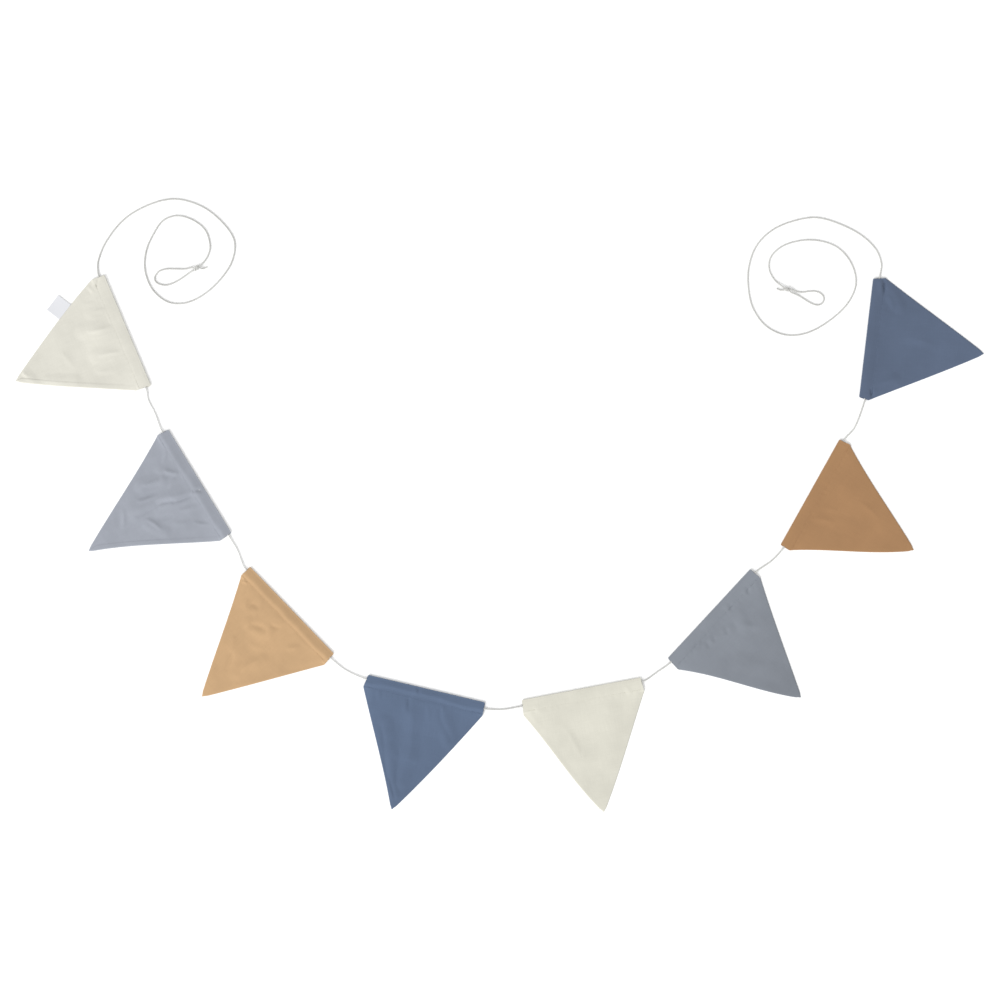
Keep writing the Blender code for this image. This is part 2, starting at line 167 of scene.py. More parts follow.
def string_route():
    """From the left knot through all the casings to the right knot."""
    middle = []
    for name, bends in zip(PLACES, BETWEEN + ((),)):
        width, into, out = PLACES[name][3:]
        for x in (-MOUTH_REACH, MOUTH_REACH, width - MOUTH_REACH, width + MOUTH_REACH):
            middle.append(on_pennant(name, x, into + (out - into) * x / width, STRING_IN_CASING))
        middle += [Vector((x, y, STRING_LOW)) for x, y in bends]
    left = with_height(LEFT_END, KNOT_HEIGHT, STRING_LOW)
    right = with_height(RIGHT_END, STRING_LOW, KNOT_HEIGHT)
    return left + middle + right


def linear(code):
    """An sRGB hex colour as linear red, green, blue and full alpha."""
    channels = [int(code[i:i + 2], 16) / 255 for i in (0, 2, 4)]
    return (*(c / 12.92 if c <= 0.04045 else ((c + 0.055) / 1.055) ** 2.4 for c in channels), 1.0)


def add_node(tree, kind, settings=(), inputs=(), links=()):
    """A node with its settings, its input values and what is linked into it."""
    node = tree.nodes.new(kind)
    for key, value in dict(settings).items():
        setattr(node, key, value)
    for key, value in dict(inputs).items():
        node.inputs[key].default_value = value
    for key, source in dict(links).items():
        tree.links.new(source, node.inputs[key])
    return node


def new_material(name, roughness, specular):
    """A material with its shader's roughness and how strongly it glints."""
    material = bpy.data.materials.new(name)
    material.use_nodes = True
    shader = material.node_tree.nodes["Principled BSDF"]
    shader.inputs["Roughness"].default_value = roughness
    shader.inputs["Specular IOR Level"].default_value = specular
    return material, material.node_tree, shader


def twisted_cotton():
    """Three-ply cotton string: dull and slightly hairy, so light breaks up along each ply.

    It is painted whiter between the first four pennants, as painted light, and keeps its own greyer colour at
    its ends.
    """
    material, tree, shader = new_material("twisted_cotton_string", 0.92, 0.2)
    place = add_node(tree, "ShaderNodeTexCoord").outputs["Object"]
    hairs = add_node(
        tree, "ShaderNodeTexNoise", inputs={"Scale": 1 / (HAIR_SIZE * MM), "Detail": 3.0, "Roughness": 0.6},
        links={"Vector": place},
    )
    soil = add_node(
        tree, "ShaderNodeTexNoise", inputs={"Scale": 1 / (SOIL_SIZE * MM), "Detail": 2.0},
        links={"Vector": place},
    )
    amount = add_node(
        tree, "ShaderNodeMapRange",
        inputs={"From Min": 0.35, "From Max": 0.75, "To Min": 0.0, "To Max": 0.55},
        links={"Value": soil.outputs["Fac"]},
    )
    handled = add_node(
        tree, "ShaderNodeMix", {"data_type": "RGBA"},
        {6: linear(STRING_COLOUR), 7: linear(STRING_SHADE)}, {0: amount.outputs["Result"]},
    )
    # Painted light: between the first four pennants the string's colour is mixed towards a whiter one
    axes = add_node(tree, "ShaderNodeSeparateXYZ", links={"Vector": place})
    painted_light = [
        add_node(
            tree, "ShaderNodeMapRange", inputs={"From Min": own_colour_at, "From Max": whitest_at},
            links={"Value": axes.outputs[axis]},
        ).outputs["Result"]
        for axis, whitest_at, own_colour_at in PAINTED_LIGHT_PART
    ]
    share = add_node(tree, "ShaderNodeMath", {"operation": "MULTIPLY"}, links={0: painted_light[0], 1: painted_light[1]})
    colour = add_node(
        tree, "ShaderNodeMix", {"data_type": "RGBA"}, {7: linear(STRING_PAINTED_LIGHT)},
        {0: share.outputs[0], 6: handled.outputs[2]},
    )
    bump = add_node(
        tree, "ShaderNodeBump", inputs={"Strength": 0.5, "Distance": 0.00012},
        links={"Height": hairs.outputs["Fac"]},
    )
    tree.links.new(colour.outputs[2], shader.inputs["Base Color"])
    tree.links.new(bump.outputs["Normal"], shader.inputs["Normal"])
    shader.inputs["Sheen Weight"].default_value = 0.15
    shader.inputs["Sheen Roughness"].default_value = 0.5
    return material


string_cotton = twisted_cotton()

# Outline of the string's section: three round plies that touch
deselect()
bpy.ops.curve.primitive_bezier_circle_add(radius=1.0)
three_plies = bpy.context.object
three_plies.name = "three_plies_section"
section_curve = three_plies.data
section_curve.splines.clear()
section_line = section_curve.splines.new("POLY")
section_line.points.add(SECTION_SIDES - 1)
section_line.use_cyclic_u = True
for i, point in enumerate(section_line.points):
    angle = 2 * math.pi * i / SECTION_SIDES
    ply = PLY_SWELL * abs(math.cos(1.5 * angle))
    radius = 0.5 * STRING_DIAMETER * MM * (1.0 - PLY_DEPTH + PLY_DEPTH * ply)
    point.co = (radius * math.cos(angle), radius * math.sin(angle), 0.0, 1.0)


def twisted_string(name, points, step=STRING_STEP):
    """String laid along a route: the three-ply section swept along it, turning once a pitch."""
    path = smooth_route(points, step)
    curve = bpy.data.curves.new(name, "CURVE")
    curve.dimensions = "3D"
    curve.twist_mode = "MINIMUM"
    curve.bevel_mode = "OBJECT"
    curve.bevel_object = three_plies
    curve.use_fill_caps = True
    line = curve.splines.new("POLY")
    line.points.add(len(path) - 1)
    flat = np.column_stack((path * MM, np.ones(len(path))))
    line.points.foreach_set("co", flat.ravel())
    travelled = np.concatenate(([0.0], np.cumsum(np.linalg.norm(np.diff(path, axis=0), axis=1))))
    line.points.foreach_set("tilt", 2 * math.pi * travelled / PLY_PITCH)
    piece = bpy.data.objects.new(name, curve)
    bpy.context.scene.collection.objects.link(piece)
    deselect()
    piece.select_set(True)
    bpy.context.view_layer.objects.active = piece
    bpy.ops.object.convert(target="MESH")
    piece = bpy.context.object
    bpy.ops.object.mode_set(mode="EDIT")
    bpy.ops.mesh.select_all(action="SELECT")
    bpy.ops.mesh.remove_doubles(threshold=0.000005)
    bpy.ops.mesh.normals_make_consistent(inside=False)
    bpy.ops.object.mode_set(mode="OBJECT")
    bpy.ops.object.shade_smooth_by_angle(angle=math.radians(60))
    piece.data.materials.clear()
    piece.data.materials.append(string_cotton)
    return piece, path


string, string_path = twisted_string("cotton_string", string_route())
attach(string, "root")
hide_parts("string")


# Knots, loops and tails. Each end of the string is doubled back and tied in an overhand knot, so
# a small bight comes out of one side, and the standing string and a short cut tail out of the other.
KNOTS = {
    "left": (-393.8, 356.9, 18.0),
    "right": (373.5, 329.3, 152.0),
}
LOOPS = {
    "left": (
        (-399.5, 358.0), (-408.5, 355.9), (-420.5, 355.9), (-433.0, 355.8), (-443.0, 352.6), (-448.3, 345.5),
        (-447.4, 339.5), (-441.4, 335.9), (-433.0, 334.9), (-423.0, 338.2), (-413.0, 344.0), (-405.3, 349.6),
        (-399.0, 353.3),
    ),
    "right": (
        (379.2, 329.2), (386.2, 326.6), (393.5, 325.6), (402.0, 326.7), (411.5, 326.5), (418.4, 323.0),
        (421.3, 317.6), (419.3, 311.8), (414.5, 309.0), (407.5, 310.0), (399.0, 314.5), (389.3, 320.6),
        (378.0, 325.6),
    ),
}
TAILS = {
    "left": ((-388.2, 356.4), (-384.6, 356.6), (-380.4, 358.2)),
    "right": ((368.0, 328.0), (364.4, 328.4), (359.6, 330.4)),
}

# The doubled string's turns inside a knot, along it, across it and up from its middle: round
# behind, over the front, and out through its own turn
KNOT_TURNS = (
    (3.4, 0.6, 0.1), (1.9, 1.3, 0.8), (0.0, 1.4, 1.4), (-1.7, 0.4, 1.6), (-2.2, -0.9, 0.8),
    (-1.2, -1.5, -0.4),
    (0.5, -0.8, -1.3), (1.9, 0.3, -1.1), (2.5, 1.2, -0.1), (1.8, 1.0, 1.1), (1.0, -0.2, 1.6),
    (0.6, -1.2, 1.0),
    (-0.7, -1.2, 0.0), (-2.6, -0.6, -0.3),
)
STRAND_APART = 0.75
STRAND_AHEAD = 0.4
KNOT_STEP = 0.5


def tied_knot(side, ends):
    """An overhand knot on the bight: each strand joins an end of the string to a leg of the loop."""
    x, y, turn = KNOTS[side]
    knot_place = Matrix.Translation((x, y, KNOT_HEIGHT)) @ Matrix.Rotation(math.radians(turn), 4, "Z")
    strands = []
    for number, (start, finish) in enumerate(ends):
        offset = STRAND_APART if (knot_place.inverted() @ Vector(start[0])).y > 0.0 else -STRAND_APART
        ahead = STRAND_AHEAD * offset
        turns = [knot_place @ Vector((a + ahead, b + offset, up)) for a, b, up in KNOT_TURNS]
        strand, _ = twisted_string(f"knot_strand_{side}_{number}", [*start[::-1], *turns, *finish], KNOT_STEP)
        strands.append(strand)
    deselect()
    for strand in strands:
        strand.select_set(True)
    bpy.context.view_layer.objects.active = strands[0]
    bpy.ops.object.join()
    knot = bpy.context.object
    knot.name = f"tied_knot_{side}"
    return knot


for side in KNOTS:
    loop_route = with_height(LOOPS[side], KNOT_HEIGHT, KNOT_HEIGHT)
    tail_route = with_height(TAILS[side], KNOT_HEIGHT, STRING_LOW)
    loop, loop_path = twisted_string(f"hanging_loop_{side}", loop_route)
    tail, tail_path = twisted_string(f"cut_tail_{side}", tail_route, KNOT_STEP)
    standing = string_path if side == "left" else string_path[::-1]
    knot = tied_knot(side, ((standing[:2], loop_path[:2]), (tail_path[:2], loop_path[::-1][:2])))
    for piece, node in ((knot, "knot_"), (loop, "loop_"), (tail, "tail_")):
        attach(piece, "root")
        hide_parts(node + side)


# Pennants. Each is one kite of plain-weave cotton folded in half, sewn down both sides and turned,
# so the seam allowances lie inside. A line of stitches below the fold makes the string's casing.
LAYER = 0.45
STITCH_DOWN = 15.2
ALLOWANCE_WIDE = 6.5
LOFT = 0.5
LEAST_GAP = 0.03
CREASE_HEIGHT = 2.1

# The grid of a cloth: its columns, which crowd at the sewn edges, and the spacing of its rows
COLUMNS = 104
EDGE_STEPS = (0.0, 0.12, 0.34, 0.64, 1.0)
EDGE_BAND = 1.9
EDGE_SHARE = 0.2
FOLD_ROW = 0.25
CASING_ROW = 0.8
CASING_END = 19.0
CLOTH_ROW = 1.75

# How the sewn edges, the tip, the casing's corners and the fold are rounded
EDGE_ROUND = 1.3
EDGE_APART = 0.25
TIP_HALF = 1.2
TIP_ROUND = 1.6
TIP_FROM = 6.0
CORNER_ROUND = 1.2
CORNER_DOWN = 2.6
FOLD_RISE = 0.35
FOLD_MIDDLE = 0.9

# How far the upper layer draws back at the casing's mouths, so that the string shows going in
MOUTH_CUT = 0.6
MOUTH_DOWN = 12.0
MOUTH_IN = 12.0

# Puckers just below the stitches, then the cloth's slow unevenness: its height, size and seed
PUCKER = 0.09
PUCKER_PITCH = 8.1
WANDERS = ((0.3, 21.0, 0), (0.12, 9.0, 10))

# Low corners of the casing's ends and the tip, from the first fold corner
CUTS = {
    "pennant_1": (0.0, 18.0, 155.5, 20.5, 83.0, 160.0),
    "pennant_2": (-0.5, 15.0, 159.5, 17.5, 81.5, 170.5),
    "pennant_3": (0.5, 15.5, 159.5, 19.0, 78.5, 162.0),
    "pennant_4": (-2.5, 16.0, 157.5, 17.0, 70.5, 163.0),
    "pennant_5": (-1.5, 20.0, 159.0, 18.0, 78.0, 163.0),
    "pennant_6": (-1.5, 19.5, 159.0, 17.5, 80.5, 161.5),
    "pennant_7": (-0.5, 13.0, 158.5, 14.5, 79.0, 154.5),
    "pennant_8": (-2.5, 12.0, 158.5, 16.0, 75.5, 154.5),
}

# Drift of each sewn side to the right of a straight line, in its upper and its lower third. The
# bow's share makes the drift come out at these distances in millimetres.
BOW_SHARE = 6.75
BOWS = {
    "pennant_1": (-2.0, -1.0, 0.0, 1.5),
    "pennant_2": (1.5, -0.5, 0.0, -3.0),
    "pennant_3": (1.0, -0.5, 0.0, 0.5),
    "pennant_4": (0.0, 1.5, 1.0, 1.5),
    "pennant_5": (1.0, -3.0, 0.0, 1.5),
    "pennant_6": (3.0, -2.5, -1.0, 0.0),
    "pennant_7": (1.5, -3.0, -2.0, 0.5),
    "pennant_8": (0.0, -1.0, -0.5, 0.5),
}

# Height of each upper layer over the lower one, at these distances down from the fold. The casing
# stands over its string, and the cloth below its stitches eases down towards the tip.
FLAT_CASING = (
    (0.7, 1.75), (2, 2.1), (4, 2.2), (7, 2.3), (10, 2.35), (12, 2.3), (14, 2.2), (16, 2.05), (18, 1.9),
    (25, 1.6), (60, 0.5),
)
CASINGS = {
    "pennant_1": FLAT_CASING,
    "pennant_2": (
        (0.7, 1.5), (2, 1.75), (4, 2.05), (6, 2.4), (8, 2.75), (10, 3.05), (11, 3.1), (12, 3.0), (13, 2.8),
        (14, 2.55), (15, 2.3), (16, 2.1), (18, 1.75), (20, 1.5), (22, 1.3), (25, 1.15), (60, 0.5),
    ),
    "pennant_3": (
        (0.7, 1.3), (2, 1.55), (4, 2.05), (6, 2.6), (8, 3.1), (9.5, 3.4), (10.7, 3.5), (12, 3.3), (13, 3.05),
        (14, 2.8), (15, 2.6), (16, 2.5), (18, 2.5), (20, 2.45), (25, 2.15), (60, 0.5),
    ),
    "pennant_4": (
        (0.7, 1.5), (2, 1.75), (4, 2.1), (6, 2.45), (8, 2.75), (9.2, 2.8), (10.5, 2.55), (12, 2.15),
        (13, 1.95), (14, 1.85), (15, 1.8), (18, 1.75), (25, 1.5), (60, 0.5),
    ),
    "pennant_5": FLAT_CASING,
    "pennant_6": (
        (0.7, 1.6), (2, 2.05), (4, 2.25), (6, 2.35), (9, 2.35), (11, 2.1), (13, 1.75), (15, 1.55), (18, 1.4),
        (25, 1.15), (60, 0.5),
    ),
    "pennant_7": (
        (0.7, 1.7), (2, 2.15), (4, 2.35), (6, 2.35), (8, 2.15), (11, 1.8), (13, 1.6), (15, 1.5), (18, 1.35),
        (25, 1.1), (60, 0.5),
    ),
    "pennant_8": (
        (0.7, 2.1), (2, 2.5), (4, 2.5), (6, 2.45), (8.5, 2.3), (11, 1.9), (13, 1.6), (15, 1.4), (18, 1.25),
        (25, 1.05), (60, 0.5),
    ),
}

# How far down the casing's ridge drifts, along the fold, and where below the fold it moves
RIDGE_DRIFTS = {
    "pennant_1": ((0, 0.4), (60, -0.4), (157, 1.2)),
    "pennant_2": ((0, 0.2), (30, 1.0), (58, 0.4), (84, -1.0), (96, 0.8), (130, 0.4), (158, -0.6)),
    "pennant_3": ((0, 0.4), (50, -0.2), (100, 0.4), (158, 0.2)),
    "pennant_4": (
        (0, 2.0), (20, 0.0), (36, -1.6), (62, -0.4), (76, -1.0), (90, -1.4), (111, 0.8), (157, 1.2),
    ),
    "pennant_5": ((0, 1.0), (80, -0.4), (158, -0.6)),
    "pennant_6": ((0, -0.4), (70, -0.8), (106, 0.4), (158, 0.6)),
    "pennant_7": ((0, 0.0), (42, 0.2), (87, -0.2), (158, 0.4)),
    "pennant_8": ((0, 0.4), (80, -0.4), (156, 0.4)),
}
RIDGE_WANDER = 1.2
RIDGE_MOVES = ((1.0, 0.0), (7.0, 1.0), (13.0, 1.0), (22.0, 0.0))
SMOOTHING = (-0.8, 0.0, 0.8)
PINCH = 0.1
STITCH_DIMPLE = 0.1
DIMPLE_REACH = 1.2
STITCH_REACH = 3.0
SIDE_REACH = 10.0

# How uneven each cloth lies between its creases
UNEVENNESS = {
    "pennant_1": 0.7,
    "pennant_2": 1.4,
    "pennant_3": 1.5,
    "pennant_4": 0.8,
    "pennant_5": 0.5,
    "pennant_6": 0.8,
    "pennant_7": 0.35,
    "pennant_8": 0.5,
}

# How far the seam allowance shows through on the left and on the right
ALLOWANCES = {
    "pennant_1": (0.1, 0.6),
    "pennant_2": (0.12, 0.45),
    "pennant_3": (0.08, 0.08),
    "pennant_4": (0.1, 0.08),
    "pennant_5": (0.06, 0.06),
    "pennant_6": (0.06, 0.08),
    "pennant_7": (0.06, 0.06),
    "pennant_8": (0.06, 0.08),
}

# Soft folds: a ridge from one place to another, how high it lifts and how far it spreads
FOLDS = {
    "pennant_1": (
        (40, 34, 44, 16, 0.8, 12), (58, 54, 68, 16, 1.3, 14), (93, 52, 102, 18, 1.2, 13),
        (112, 88, 98, 122, 0.9, 10), (72, 146, 88, 140, 0.9, 9),
    ),
    "pennant_2": (
        (82, 18, 76, 58, 2.0, 16), (76, 58, 68, 94, 1.5, 16), (42, 34, 55, 17, 1.4, 12),
        (44, 68, 51, 42, 1.3, 12), (92, 86, 112, 74, 1.3, 11), (128, 18, 122, 44, 0.8, 13),
    ),
    "pennant_3": (
        (54, 52, 78, 42, 1.3, 13), (33, 37, 47, 28, 1.0, 11), (96, 74, 88, 108, 0.9, 13),
    ),
    "pennant_4": (
        (64, 18, 77, 92, 1.5, 16), (77, 92, 74, 126, 1.1, 13), (104, 18, 124, 60, 1.4, 14),
        (36, 56, 52, 96, 1.1, 14), (52, 96, 68, 144, 1.1, 10),
    ),
    "pennant_5": ((34, 36, 60, 92, 0.5, 17), (112, 34, 96, 104, 0.5, 17)),
    "pennant_6": (
        (82, 32, 58, 25, 1.1, 11), (108, 18, 98, 46, 1.0, 12), (62, 74, 84, 118, 0.6, 16),
    ),
    "pennant_7": ((56, 18, 66, 66, 0.5, 14), (104, 40, 90, 108, 0.5, 17)),
    "pennant_8": (
        (143, 20, 124, 38, 1.5, 12), (14, 19, 28, 42, 1.3, 12), (88, 58, 80, 112, 0.5, 17),
    ),
}
FOLDS_FROM = 15.0
FOLDS_FULL = 42.0

# Fine creases in the top layer: from one place to another, their rise or their depth, their spread
# and how far they bend to the left. Each has a shallow fold of the other kind along its right.
CREASES = {
    "pennant_1": (
        (40, 34, 43, 17, 0.3, 2.2, 1.0), (60, 50, 66, 17, 0.45, 2.2, -1.5), (95, 50, 101, 20, 0.4, 2.2, 1.2),
        (4, 27, 17, 22, 0.5, 1.5, 0.5), (73, 148, 85, 142, 0.5, 1.7, -0.6), (30, 24, 24, 42, 0.2, 2.6, 1.0),
        (112, 60, 120, 34, 0.2, 3.0, -1.0), (70, 92, 96, 84, 0.2, 3.4, 1.4), (2, 8, 12, 17, -0.4, 1.6, 0.3),
    ),
    "pennant_2": (
        (89, 17, 84, 46, -1.0, 2.4, 1.0), (85, 40, 76, 66, -0.9, 2.8, -1.2), (77, 60, 76, 96, -0.7, 3.2, 1.0),
        (42, 33, 56, 18, 0.8, 2.2, -1.2), (84, 86, 109, 75, 0.4, 2.0, 1.5), (86, 15, 90, 4, -0.7, 1.9, 0.4),
        (45, 68, 50, 44, 0.7, 2.4, -1.0), (134, 18, 121, 35, 0.35, 2.2, 1.0),
        (60, 22, 66, 40, 0.4, 2.4, -0.8),
        (104, 20, 98, 44, 0.35, 2.6, 1.2), (58, 104, 80, 118, 0.5, 2.8, 1.5), (24, 17, 34, 30, 0.4, 2.0, 0.8),
        (66, 56, 60, 84, 0.6, 2.6, 1.0), (100, 52, 94, 74, -0.5, 2.6, -1.0),
        (118, 40, 108, 58, 0.2, 2.8, 0.8),
    ),
    "pennant_3": (
        (54, 54, 78, 42, -0.8, 4.6, 3.0), (33, 38, 48, 28, -0.65, 4.2, 2.2), (5, 22, 13, 17, 0.6, 1.4, 0.4),
        (96, 74, 90, 104, 0.4, 3.6, -1.5), (64, 92, 76, 118, -0.4, 3.2, 1.4),
        (120, 24, 110, 40, 0.4, 3.0, 1.0),
        (70, 70, 96, 56, 0.3, 4.4, -2.5), (50, 78, 62, 96, 0.35, 4.2, 2.0), (86, 26, 74, 34, -0.4, 2.4, 0.8),
    ),
    "pennant_4": (
        (58, 14, 62, 35, -0.4, 2.2, 0.6), (100, 22, 118, 50, -0.4, 3.6, -1.5),
        (114, 46, 127, 62, -0.3, 3.6, 0.8),
        (30, 57, 45, 96, -0.3, 3.4, 1.6), (43, 90, 58, 128, -0.3, 3.2, -1.2),
        (56, 122, 72, 152, -0.4, 2.6, 0.8),
        (66, 30, 78, 98, 0.25, 4.2, 1.6), (76, 90, 73, 130, 0.2, 3.8, -1.2), (67, 0, 70, 10, -0.4, 1.6, 0.3),
        (104, 17, 107, 28, 0.3, 1.8, 0.4), (20, 17, 22, 30, 0.25, 2.0, -0.4), (84, 20, 92, 44, 0.2, 2.6, 0.8),
    ),
    "pennant_5": (
        (15, 10, 23, 24, 0.15, 3.2, 0.6), (137, 7, 141, 19, 0.25, 2.8, -0.5), (46, 40, 62, 86, 0.2, 4.2, 1.5),
    ),
    "pennant_6": (
        (82, 30, 74, 34, -0.5, 2.4, 0.4), (63, 26, 56, 30, -0.5, 2.4, -0.4), (52, 24, 45, 29, -0.4, 2.4, 0.4),
        (108, 12, 101, 17, -0.4, 2.4, 0.4), (139, 15, 132, 20, -0.5, 2.2, -0.3),
        (46, 16, 28, 21, 0.3, 2.0, 0.6),
        (96, 40, 112, 62, 0.25, 3.6, 1.0),
    ),
    "pennant_7": (
        (50, 20, 60, 46, 0.25, 3.2, 1.0), (70, 20, 77, 48, 0.2, 3.4, -1.0), (100, 60, 92, 96, 0.2, 3.6, 1.2),
    ),
    "pennant_8": (
        (158, 13, 136, 17, -0.8, 2.2, 0.6), (0, 17, 14, 13, -0.7, 1.9, -0.4),
        (137, 21, 117, 31, 0.4, 3.0, 1.0),
        (20, 20, 30, 44, 0.25, 3.0, -0.8), (84, 50, 78, 92, 0.2, 4.0, 1.6),
    ),
}

# Dyed cottons, in the string's order
CLOTH_COLOURS = {
    "pennant_1": ("cotton_cream", "CBC9BF"),
    "pennant_2": ("cotton_light_grey_blue", "92969F"),
    "pennant_3": ("cotton_sand", "BA9973"),
    "pennant_4": ("cotton_blue", "5A6A83"),
    "pennant_5": ("cotton_cream", "CAC8BC"),
    "pennant_6": ("cotton_mid_grey", "7B8088"),
    "pennant_7": ("cotton_caramel", "9C7753"),
    "pennant_8": ("cotton_dark_grey_blue", "546177"),
}

# The weave: a thread's width, its thicker slubs, and the size of the washed mottle
THREAD_PITCH = 0.45
SLUB_THICK = 1.111
SLUB_LONG = 22.22
MOTTLE_SIZE = 38.46
UV_SHIFT = 0.2

# Painted light and shade: how much lighter or darker each cloth is painted by its fold and by its tip
PAINTED_LIGHT_TONES = {
    "pennant_1": (1.015, 1.045),
    "pennant_2": (1.01, 1.06),
    "pennant_3": (0.985, 1.03),
    "pennant_4": (0.93, 0.89),
    "pennant_5": (1.015, 0.995),
    "pennant_6": (1.06, 0.88),
    "pennant_7": (1.0, 0.99),
    "pennant_8": (0.91, 0.99),
}
PAINTED_LIGHT_REACH = 160.0


def eased(share):
    """A smooth step from 0 to 1."""
    share = np.clip(share, 0.0, 1.0)
    return share * share * (3.0 - 2.0 * share)


def side_line(name, down, right):
    """Where a pennant's left or right edge is, at these distances down from its fold."""
    left_x, left_down, right_x, right_down, tip_x, tip_down = CUTS[name]
    low_x, low_down = (right_x, right_down) if right else (left_x, left_down)
    high, low = BOWS[name][2:] if right else BOWS[name][:2]
    top_x = PLACES[name][3] if right else 0.0
    inward = -1.0 if right else 1.0
    end = top_x + (low_x - top_x) * np.clip(down / low_down, 0.0, 1.0)
    end = end + inward * CORNER_ROUND * np.clip(1.0 - down / CORNER_DOWN, 0.0, 1.0) ** 2
    share = np.clip((down - low_down) / (tip_down - low_down), 0.0, 1.0)
    bow = BOW_SHARE * share * (1.0 - share) * (high * (1.0 - share) + low * share)
    side = low_x + (tip_x - inward * TIP_HALF - low_x) * share + bow
    return np.where(down <= low_down, end, side) + inward * LAYER


def nearness(row, x, down):
    """One minus the squared distance to a fold's line, counted in its spread, and never under 0."""
    from_x, from_down, to_x, to_down, _, spread = row
    along_x, along_down = to_x - from_x, to_down - from_down
    share = ((x - from_x) * along_x + (down - from_down) * along_down) / (along_x ** 2 + along_down ** 2)
    share = np.clip(share, 0.0, 1.0)
    away = np.hypot(x - from_x - along_x * share, down - from_down - along_down * share)
    return np.clip(1.0 - (away / spread) ** 2, 0.0, None)


def lifted(name, x, down):
    """How far the soft folds raise both layers off the surface."""
    highest = np.zeros_like(x)
    for row in FOLDS[name]:
        highest = np.maximum(highest, row[4] * nearness(row, x, down) ** 2)
    return highest * eased((down - FOLDS_FROM) / (FOLDS_FULL - FOLDS_FROM))


def creased(name, x, down):
    """Height of the fine creases, which fade out towards their ends."""
    height = np.zeros_like(x)
    for from_x, from_down, to_x, to_down, rise, spread, bend in CREASES[name]:
        length = math.hypot(to_x - from_x, to_down - from_down)
        along_x, along_down = (to_x - from_x) / length, (to_down - from_down) / length
        share = ((x - from_x) * along_x + (down - from_down) * along_down) / length
        fade = np.clip(1.0 - (2.0 * share - 1.0) ** 2, 0.0, None)
        beside = ((x - from_x) * along_down - (down - from_down) * along_x - bend * fade) / spread
        shape = np.exp(-np.abs(beside) ** 1.7) - 0.4 * np.exp(-((beside + 2.1) / 1.4) ** 2)
        height += rise * fade ** 0.8 * shape
    return height


def uneven(name, x, down, size, seed):
    """A smooth, slow unevenness of this size in millimetres, between -1 and 1."""
    start = Vector((seed * 7.31, len(name) + 3.7 * seed, 0.0))
    return np.array([noise.noise(start + Vector((a / size, b / size, 0.0))) for a, b in zip(x, down)])


def upper_height(name, x, down):
    """Height of the upper layer over the lower one, drawn in a little by the stitches."""
    drift = np.interp(x, *zip(*RIDGE_DRIFTS[name])) + RIDGE_WANDER * uneven(name, x, 0.0 * down, 17.0, 31)
    moved = down - drift * np.interp(down, *zip(*RIDGE_MOVES))
    height = sum(np.interp(moved + shift, *zip(*CASINGS[name])) for shift in SMOOTHING) / len(SMOOTHING)
    return height - STITCH_DIMPLE * np.exp(-((down - STITCH_DOWN) / DIMPLE_REACH) ** 2)


def drawn_up(height, down):
    """How far the stitches draw the lower layer up to the upper one."""
    return (height - PINCH) * np.exp(-((down - STITCH_DOWN) / STITCH_REACH) ** 2)


def row_distances(tip_down):
    """How far down from the fold each row of the cloth lies, closer together over the casing."""
    casing = np.linspace(0.0, CASING_END, round(CASING_END / CASING_ROW) + 1)
    body = np.linspace(CASING_END, tip_down - LAYER, round((tip_down - CASING_END) / CLOTH_ROW) + 1)
    downs = np.concatenate((casing, body[1:]))
    downs[0] = LAYER
    downs[1] = LAYER + FOLD_ROW
    return downs


def flat_grid(name, rows):
    """A flat grid for the unfolded kite, with the column and the row from the fold of each vertex."""
    deselect()
    bpy.ops.mesh.primitive_grid_add(x_subdivisions=COLUMNS, y_subdivisions=2 * rows, size=1.0)
    cloth = bpy.context.object
    cloth.name = f"cloth_{name}"
    co = np.empty(3 * len(cloth.data.vertices))
    cloth.data.vertices.foreach_get("co", co)
    co = co.reshape(-1, 3)
    column = np.rint((co[:, 0] + 0.5) * COLUMNS).astype(int)
    step = np.rint(co[:, 1] * 2 * rows).astype(int)
    return cloth, column, step


def across_cloth(name, column, down):
    """Each vertex's place across the cloth and its distance in from the nearer edge."""
    left, right = side_line(name, down, False), side_line(name, down, True)
    from_edge = np.minimum(column, COLUMNS - column)
    edge_band = np.minimum(EDGE_BAND, EDGE_SHARE * (right - left))
    steps = len(EDGE_STEPS) - 1
    beyond = (right - left - 2 * edge_band) * np.clip(from_edge - steps, 0, None) / (COLUMNS - 2 * steps)
    inset = edge_band * np.interp(from_edge, range(steps + 1), EDGE_STEPS) + beyond
    x = np.where(column <= COLUMNS // 2, left + inset, right - inset)
    return x, inset, (x - left) / (right - left)


def small_relief(name, x, down, inset, on_left, low_cloth):
    """What the upper layer adds: seam allowances, puckers under the stitches, slow unevenness."""
    number = int(name[-1])
    showing = np.where(on_left, *ALLOWANCES[name]) * (0.8 + 0.4 * uneven(name, x, down, 31.0, number + 20))
    allowance = showing * low_cloth * (1.0 - eased((inset - ALLOWANCE_WIDE + 1.0) / 1.6))
    wave = np.sin(x * 2 * math.pi / PUCKER_PITCH + 3.0 * uneven(name, x, down * 0.0, 23.0, number))
    near_stitches = np.exp(-((down - STITCH_DOWN - 2.5) / 3.0) ** 2) * np.clip(inset / 6.0, 0.0, 1.0)
    wander = sum(size * uneven(name, x, down, reach, number + seed) for size, reach, seed in WANDERS)
    body = low_cloth * np.clip(inset / 5.0, 0.0, 1.0)
    return allowance + PUCKER * wave * near_stitches + wander * UNEVENNESS[name] * body


